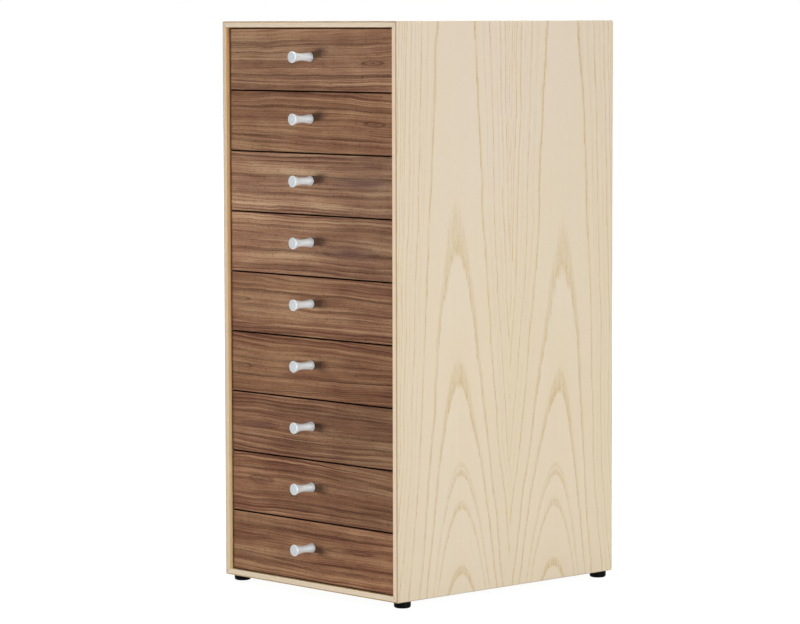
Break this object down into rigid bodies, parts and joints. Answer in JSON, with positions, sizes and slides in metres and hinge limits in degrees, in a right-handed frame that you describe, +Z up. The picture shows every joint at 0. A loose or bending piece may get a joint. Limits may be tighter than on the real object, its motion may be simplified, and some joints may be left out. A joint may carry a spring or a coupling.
{
  "type": "miniature chest of drawers",
  "caption": "Tall narrow tabletop chest of drawers: mitred pale case, inset dark drawer fronts, turned waisted pulls and small round glides.",
  "frame": {"origin": "on the surface the glides stand on, under the middle of the chest's box with its pulls", "axes": "+Z up, +Y towards the back panel, so the drawers open along -Y; +X to the right of someone facing the drawers"},
  "size_m": [0.293, 0.3658, 0.6473],
  "materials": {
    "ash": "clear matt lacquer on ash veneer",
    "ash_back": "clear matt lacquer on ash veneer",
    "birch_ply": "clear matt lacquer on birch plywood",
    "walnut": "satin lacquer on walnut veneer",
    "pull_metal": "satin",
    "screw_steel": "zinc plated",
    "glide_plastic": "semi-gloss moulded"
  },
  "bodies": {
    "case": {"case_top": "ash", "case_bottom": "ash", "case_left_side": "ash", "case_right_side": "ash", "back_panel": "ash_back", "left_runner_board": "birch_ply", "right_runner_board": "birch_ply", "front_left_glide": "glide_plastic", "front_right_glide": "glide_plastic", "back_left_glide": "glide_plastic", "back_right_glide": "glide_plastic"},
    "drawer_1": {"drawer_1_front": "walnut", "drawer_1_walls": "birch_ply", "drawer_1_bottom": "birch_ply", "drawer_1_pull": "pull_metal", "drawer_1_pull_screw": "screw_steel"},
    "drawer_2": {"drawer_2_front": "walnut", "drawer_2_walls": "birch_ply", "drawer_2_bottom": "birch_ply", "drawer_2_pull": "pull_metal", "drawer_2_pull_screw": "screw_steel"},
    "drawer_3": {"drawer_3_front": "walnut", "drawer_3_walls": "birch_ply", "drawer_3_bottom": "birch_ply", "drawer_3_pull": "pull_metal", "drawer_3_pull_screw": "screw_steel"},
    "drawer_4": {"drawer_4_front": "walnut", "drawer_4_walls": "birch_ply", "drawer_4_bottom": "birch_ply", "drawer_4_pull": "pull_metal", "drawer_4_pull_screw": "screw_steel"},
    "drawer_5": {"drawer_5_front": "walnut", "drawer_5_walls": "birch_ply", "drawer_5_bottom": "birch_ply", "drawer_5_pull": "pull_metal", "drawer_5_pull_screw": "screw_steel"},
    "drawer_6": {"drawer_6_front": "walnut", "drawer_6_walls": "birch_ply", "drawer_6_bottom": "birch_ply", "drawer_6_pull": "pull_metal", "drawer_6_pull_screw": "screw_steel"},
    "drawer_7": {"drawer_7_front": "walnut", "drawer_7_walls": "birch_ply", "drawer_7_bottom": "birch_ply", "drawer_7_pull": "pull_metal", "drawer_7_pull_screw": "screw_steel"},
    "drawer_8": {"drawer_8_front": "walnut", "drawer_8_walls": "birch_ply", "drawer_8_bottom": "birch_ply", "drawer_8_pull": "pull_metal", "drawer_8_pull_screw": "screw_steel"},
    "drawer_9": {"drawer_9_front": "walnut", "drawer_9_walls": "birch_ply", "drawer_9_bottom": "birch_ply", "drawer_9_pull": "pull_metal", "drawer_9_pull_screw": "screw_steel"}
  },
  "joints": [
    {"name": "drawer_1_slide", "type": "slide", "parent": "case", "child": "drawer_1", "axis": [0, -1, 0], "range_m": [0, 0.24]},
    {"name": "drawer_2_slide", "type": "slide", "parent": "case", "child": "drawer_2", "axis": [0, -1, 0], "range_m": [0, 0.24]},
    {"name": "drawer_3_slide", "type": "slide", "parent": "case", "child": "drawer_3", "axis": [0, -1, 0], "range_m": [0, 0.24]},
    {"name": "drawer_4_slide", "type": "slide", "parent": "case", "child": "drawer_4", "axis": [0, -1, 0], "range_m": [0, 0.24]},
    {"name": "drawer_5_slide", "type": "slide", "parent": "case", "child": "drawer_5", "axis": [0, -1, 0], "range_m": [0, 0.24]},
    {"name": "drawer_6_slide", "type": "slide", "parent": "case", "child": "drawer_6", "axis": [0, -1, 0], "range_m": [0, 0.24]},
    {"name": "drawer_7_slide", "type": "slide", "parent": "case", "child": "drawer_7", "axis": [0, -1, 0], "range_m": [0, 0.24]},
    {"name": "drawer_8_slide", "type": "slide", "parent": "case", "child": "drawer_8", "axis": [0, -1, 0], "range_m": [0, 0.24]},
    {"name": "drawer_9_slide", "type": "slide", "parent": "case", "child": "drawer_9", "axis": [0, -1, 0], "range_m": [0, 0.24]}
  ]
}
